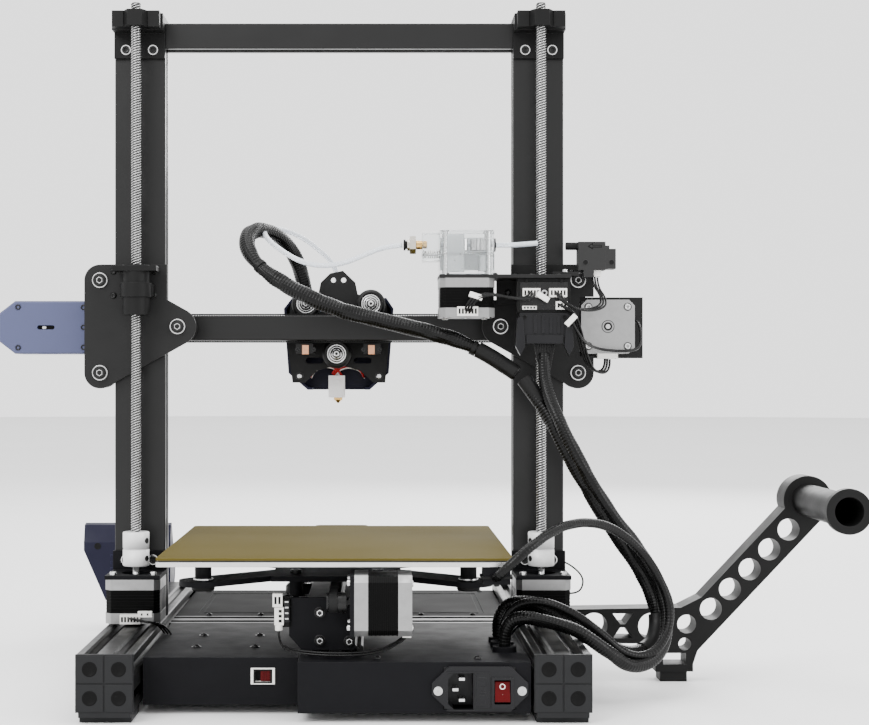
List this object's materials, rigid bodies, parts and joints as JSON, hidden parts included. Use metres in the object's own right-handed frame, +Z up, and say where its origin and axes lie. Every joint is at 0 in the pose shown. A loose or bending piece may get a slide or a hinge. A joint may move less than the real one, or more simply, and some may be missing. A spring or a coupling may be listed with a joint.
{
  "type": "fdm 3d printer",
  "caption": "Desktop filament printer: a bed slides under a gantry lifted by lead screws, with a remote extruder, wired print head, rear mains inlet and side spool arm.",
  "frame": {"origin": "on the floor, centred between the two base rails and half-way along them", "axes": "+Z up, +Y towards the back where the mains inlet is, +X to the belt tensioner's side (the left side seen from the back)"},
  "size_m": [0.66, 0.4622, 0.531],
  "materials": {
    "black_extrusion": "black anodised, satin",
    "charcoal_plate": "fine matt powder coat",
    "black_plastic": "fine moulded grain",
    "slate_plastic": "satin moulded, blue grey",
    "navy_plastic": "satin moulded, dark blue",
    "motor_body": "cast end bells, black painted stack",
    "bright_steel": "ground and threaded",
    "wheel_polymer": "turned polymer with steel bearing",
    "belt_rubber": "toothed, matt",
    "bed_aluminium": "milled plate with a dark magnetic skin",
    "bed_sheet": "textured golden coating on spring steel",
    "clear_plastic": "clear moulded",
    "inlet_plastic": "gloss moulded",
    "red_plastic": "translucent red",
    "light_plastic": "off-white moulded",
    "hotend_metal": "machined, white silicone sock, brass nozzle",
    "braided_sleeve": "braided polyester sleeve",
    "ptfe": "translucent white tube",
    "board": "board and power supply"
  },
  "bodies": {
    "frame": {"base_frame": "black_extrusion", "rail_end_caps": "black_plastic", "rear_housings": "charcoal_plate", "front_deck": "charcoal_plate", "electronics": "board", "power_inlet": "inlet_plastic", "voltage_selector": "light_plastic", "portal_frame": "black_extrusion", "top_brackets": "black_plastic", "z_motor_brackets": "charcoal_plate", "base_motors": "motor_body", "y_rail": "black_extrusion", "y_end_mounts": "charcoal_plate", "y_belt": "belt_rubber", "display": "navy_plastic", "spool_arm": "black_plastic", "spool_tube": "black_plastic", "harness_main": "braided_sleeve", "harness_ribbon": "braided_sleeve", "harness_bed": "braided_sleeve"},
    "rocker": {"power_rocker": "red_plastic"},
    "selector": {"voltage_slider": "red_plastic"},
    "screw_left": {"lead_screw_left": "bright_steel"},
    "screw_right": {"lead_screw_right": "bright_steel"},
    "bed": {"bed_carriage": "charcoal_plate", "heated_bed": "bed_aluminium", "build_sheet": "bed_sheet"},
    "y_pulley": {"y_pulley": "bright_steel"},
    "y_idler": {"y_idler": "bright_steel"},
    "gantry": {"z_plates": "charcoal_plate", "z_nuts": "black_plastic", "x_beam": "black_extrusion", "x_tensioner": "slate_plastic", "gantry_motors": "motor_body", "x_belt": "belt_rubber", "extruder_bracket": "charcoal_plate", "extruder_body": "clear_plastic", "filament_sensor": "black_plastic", "adapter_board": "black_plastic", "harness_head": "braided_sleeve", "bowden_tube": "ptfe"},
    "x_pulley": {"x_pulley": "bright_steel"},
    "x_idler": {"x_idler": "bright_steel"},
    "head": {"head_plate": "charcoal_plate", "head_shroud": "navy_plastic", "hotend": "hotend_metal"},
    "fan": {"fan_rotor": "black_plastic"},
    "bed_wheel_left_front": {"bed_wheel_left_front": "wheel_polymer"},
    "bed_wheel_left_back": {"bed_wheel_left_back": "wheel_polymer"},
    "bed_wheel_right_front": {"bed_wheel_right_front": "wheel_polymer"},
    "bed_wheel_right_back": {"bed_wheel_right_back": "wheel_polymer"},
    "z_wheel_left_upper": {"z_wheel_left_upper": "wheel_polymer"},
    "z_wheel_left_lower": {"z_wheel_left_lower": "wheel_polymer"},
    "z_wheel_left_inner": {"z_wheel_left_inner": "wheel_polymer"},
    "z_wheel_right_upper": {"z_wheel_right_upper": "wheel_polymer"},
    "z_wheel_right_lower": {"z_wheel_right_lower": "wheel_polymer"},
    "z_wheel_right_inner": {"z_wheel_right_inner": "wheel_polymer"},
    "head_wheel_left": {"head_wheel_left": "wheel_polymer"},
    "head_wheel_right": {"head_wheel_right": "wheel_polymer"},
    "head_wheel_lower": {"head_wheel_lower": "wheel_polymer"}
  },
  "joints": [
    {"name": "bed_slide", "type": "slide", "parent": "frame", "child": "bed", "axis": [0, 1, 0], "range_m": [-0.242, 0.003], "deforming": ["harness_bed"]},
    {"name": "gantry_slide", "type": "slide", "parent": "frame", "child": "gantry", "axis": [0, 0, 1], "range_m": [-0.101, 0.157], "deforming": ["harness_main", "harness_ribbon"]},
    {"name": "head_slide", "type": "slide", "parent": "gantry", "child": "head", "axis": [1, 0, 0], "range_m": [-0.1245, 0.1205], "deforming": ["harness_head", "bowden_tube"]},
    {"name": "power_rocker_hinge", "type": "hinge", "parent": "frame", "child": "rocker", "pos_m": [-0.1161, 0.199, 0.0217], "axis": [1, 0, 0], "range_deg": [-16, 0]},
    {"name": "voltage_slide", "type": "slide", "parent": "frame", "child": "selector", "axis": [1, 0, 0], "range_m": [0, 0.0036]},
    {"name": "fan_spin", "type": "hinge", "parent": "head", "child": "fan", "pos_m": [0.0018, -0.0745, 0.268], "axis": [0, 1, 0], "continuous": true},
    {"name": "lead_screw_left_spin", "type": "hinge", "parent": "frame", "child": "screw_left", "pos_m": [0.158, 0.0505, 0.3], "axis": [0, 0, 1], "continuous": true},
    {"name": "lead_screw_right_spin", "type": "hinge", "parent": "frame", "child": "screw_right", "pos_m": [-0.158, 0.0505, 0.3], "axis": [0, 0, 1], "continuous": true},
    {"name": "y_pulley_spin", "type": "hinge", "parent": "frame", "child": "y_pulley", "pos_m": [0.001, 0.1785, 0.08], "axis": [1, 0, 0], "continuous": true},
    {"name": "y_idler_spin", "type": "hinge", "parent": "frame", "child": "y_idler", "pos_m": [0.001, -0.246, 0.08], "axis": [1, 0, 0], "continuous": true},
    {"name": "x_pulley_spin", "type": "hinge", "parent": "gantry", "child": "x_pulley", "pos_m": [-0.2121, -0.01, 0.2785], "axis": [0, 1, 0], "continuous": true},
    {"name": "x_idler_spin", "type": "hinge", "parent": "gantry", "child": "x_idler", "pos_m": [0.232, -0.01, 0.2785], "axis": [0, 1, 0], "continuous": true},
    {"name": "bed_wheel_left_front_spin", "type": "hinge", "parent": "bed", "child": "bed_wheel_left_front", "pos_m": [0.0306, 0.0245, 0.07], "axis": [0, 0, 1], "continuous": true},
    {"name": "bed_wheel_left_back_spin", "type": "hinge", "parent": "bed", "child": "bed_wheel_left_back", "pos_m": [0.0306, 0.1045, 0.07], "axis": [0, 0, 1], "continuous": true},
    {"name": "bed_wheel_right_front_spin", "type": "hinge", "parent": "bed", "child": "bed_wheel_right_front", "pos_m": [-0.0306, 0.0245, 0.07], "axis": [0, 0, 1], "continuous": true},
    {"name": "bed_wheel_right_back_spin", "type": "hinge", "parent": "bed", "child": "bed_wheel_right_back", "pos_m": [-0.0306, 0.1045, 0.07], "axis": [0, 0, 1], "continuous": true},
    {"name": "z_wheel_left_upper_spin", "type": "hinge", "parent": "gantry", "child": "z_wheel_left_upper", "pos_m": [0.1886, 0.018, 0.315], "axis": [0, 1, 0], "continuous": true},
    {"name": "z_wheel_left_lower_spin", "type": "hinge", "parent": "gantry", "child": "z_wheel_left_lower", "pos_m": [0.1886, 0.018, 0.242], "axis": [0, 1, 0], "continuous": true},
    {"name": "z_wheel_left_inner_spin", "type": "hinge", "parent": "gantry", "child": "z_wheel_left_inner", "pos_m": [0.1274, 0.018, 0.2785], "axis": [0, 1, 0], "continuous": true},
    {"name": "z_wheel_right_upper_spin", "type": "hinge", "parent": "gantry", "child": "z_wheel_right_upper", "pos_m": [-0.1886, 0.018, 0.315], "axis": [0, 1, 0], "continuous": true},
    {"name": "z_wheel_right_lower_spin", "type": "hinge", "parent": "gantry", "child": "z_wheel_right_lower", "pos_m": [-0.1886, 0.018, 0.242], "axis": [0, 1, 0], "continuous": true},
    {"name": "z_wheel_right_inner_spin", "type": "hinge", "parent": "gantry", "child": "z_wheel_right_inner", "pos_m": [-0.1274, 0.018, 0.2785], "axis": [0, 1, 0], "continuous": true},
    {"name": "head_wheel_left_spin", "type": "hinge", "parent": "head", "child": "head_wheel_left", "pos_m": [0.0286, -0.03, 0.2991], "axis": [0, 1, 0], "continuous": true},
    {"name": "head_wheel_right_spin", "type": "hinge", "parent": "head", "child": "head_wheel_right", "pos_m": [-0.025, -0.03, 0.2991], "axis": [0, 1, 0], "continuous": true},
    {"name": "head_wheel_lower_spin", "type": "hinge", "parent": "head", "child": "head_wheel_lower", "pos_m": [0.0033, -0.03, 0.2579], "axis": [0, 1, 0], "continuous": true}
  ],
  "couplings": [
    {"joint": "lead_screw_left_spin", "follows": "gantry_slide", "rad_per_m": -785.4},
    {"joint": "lead_screw_right_spin", "follows": "gantry_slide", "rad_per_m": -785.4},
    {"joint": "y_pulley_spin", "follows": "bed_slide", "rad_per_m": -163.9},
    {"joint": "y_idler_spin", "follows": "bed_slide", "rad_per_m": -163.9},
    {"joint": "x_pulley_spin", "follows": "head_slide", "rad_per_m": -90.9},
    {"joint": "x_idler_spin", "follows": "head_slide", "rad_per_m": -90.9},
    {"joint": "bed_wheel_left_front_spin", "follows": "bed_slide", "rad_per_m": 94.3},
    {"joint": "bed_wheel_left_back_spin", "follows": "bed_slide", "rad_per_m": 94.3},
    {"joint": "bed_wheel_right_front_spin", "follows": "bed_slide", "rad_per_m": -94.3},
    {"joint": "bed_wheel_right_back_spin", "follows": "bed_slide", "rad_per_m": -94.3},
    {"joint": "z_wheel_left_upper_spin", "follows": "gantry_slide", "rad_per_m": -94.3},
    {"joint": "z_wheel_left_lower_spin", "follows": "gantry_slide", "rad_per_m": -94.3},
    {"joint": "z_wheel_left_inner_spin", "follows": "gantry_slide", "rad_per_m": 94.3},
    {"joint": "z_wheel_right_upper_spin", "follows": "gantry_slide", "rad_per_m": 94.3},
    {"joint": "z_wheel_right_lower_spin", "follows": "gantry_slide", "rad_per_m": 94.3},
    {"joint": "z_wheel_right_inner_spin", "follows": "gantry_slide", "rad_per_m": -94.3},
    {"joint": "head_wheel_left_spin", "follows": "head_slide", "rad_per_m": 94.3},
    {"joint": "head_wheel_right_spin", "follows": "head_slide", "rad_per_m": 94.3},
    {"joint": "head_wheel_lower_spin", "follows": "head_slide", "rad_per_m": -94.3}
  ]
}
